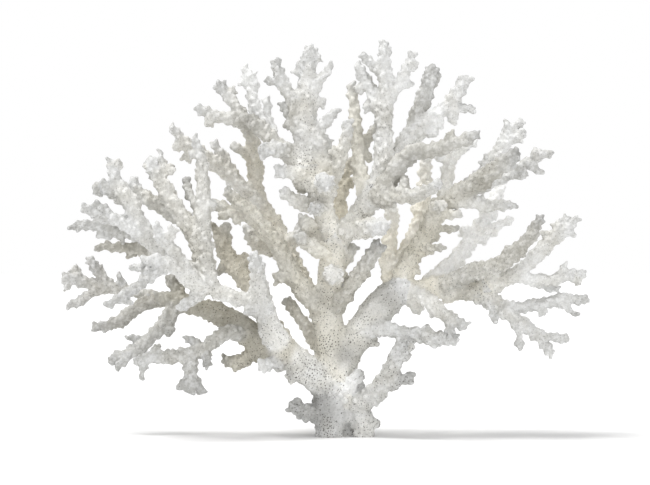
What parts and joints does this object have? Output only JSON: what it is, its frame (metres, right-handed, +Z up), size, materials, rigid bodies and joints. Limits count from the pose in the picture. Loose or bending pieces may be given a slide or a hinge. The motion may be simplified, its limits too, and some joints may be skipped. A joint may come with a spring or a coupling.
{
  "type": "branching coral",
  "caption": "Bleached branching coral skeleton with knobbly, pore-covered branches that fan out from a thick trunk, cut off flat at its foot so that it stands by itself.",
  "frame": {"origin": "middle of the flat cut under the foot, on the plane that the coral stands on", "axes": "+Z up the trunk, away from the cut; +X to the right as seen from the front, along the widest spread of the branches; the front is -Y, so +Y runs through the coral from front to back, its thinnest way"},
  "size_m": [0.2658, 0.0919, 0.1973],
  "materials": {
    "bone_front": "matte, chalky, cool bone white",
    "bone_middle": "matte, chalky, cream",
    "bone_back": "matte, chalky, warm beige"
  },
  "bodies": {
    "root": {"foot": "bone_front", "trunk": "bone_front", "trunk_back_branch": "bone_back", "trunk_side_branch": "bone_front", "left_front_limb": "bone_front", "left_limb_back_branch": "bone_back", "left_reach": "bone_front", "left_low_finger": "bone_front", "left_tall_branch": "bone_front", "left_tall_back_branch": "bone_middle", "left_fork_branch": "bone_front", "left_outer_branch": "bone_front", "left_outer_pair": "bone_front", "left_outer_low_twig": "bone_middle", "left_shaded_twig": "bone_middle", "low_left_limb": "bone_middle", "low_left_finger": "bone_back", "far_left_fan": "bone_back", "low_left_drop": "bone_middle", "bottom_left_branch": "bone_middle", "left_hidden_branch": "bone_back", "centre_left_branch": "bone_middle", "back_left_branch": "bone_back", "back_left_diagonal": "bone_back", "upper_left_limb": "bone_front", "crown_spire": "bone_front", "crown_left_prong": "bone_front", "upper_left_fan": "bone_front", "upper_left_spire": "bone_middle", "crown_middle_twig": "bone_front", "fork_back_branch": "bone_back", "upper_right_limb": "bone_front", "crown_slim_branch": "bone_middle", "crown_tall_branch": "bone_front", "right_spire": "bone_middle", "right_prong": "bone_front", "front_right_arm": "bone_front", "front_right_finger": "bone_front", "right_main_limb": "bone_front", "right_limb_back_branch": "bone_back", "right_low_branch": "bone_front", "right_base_branch": "bone_front", "far_right_limb": "bone_middle", "far_right_back_branch": "bone_back", "right_drop_branch": "bone_front", "right_back_branches": "bone_back", "right_fan_limb": "bone_middle", "right_fan_back_branch": "bone_back", "right_fan_spire": "bone_middle", "right_fan_arm": "bone_middle", "right_fan_front_arm": "bone_front", "right_fan_back_arm": "bone_back", "right_fan_low_arm": "bone_front", "right_sweep_branch": "bone_back", "far_right_front_arm": "bone_front", "far_right_upper_arm": "bone_middle", "far_right_middle_arm": "bone_middle", "far_right_lower_arm": "bone_middle", "far_right_low_arm": "bone_middle"}
  },
  "joints": []
}
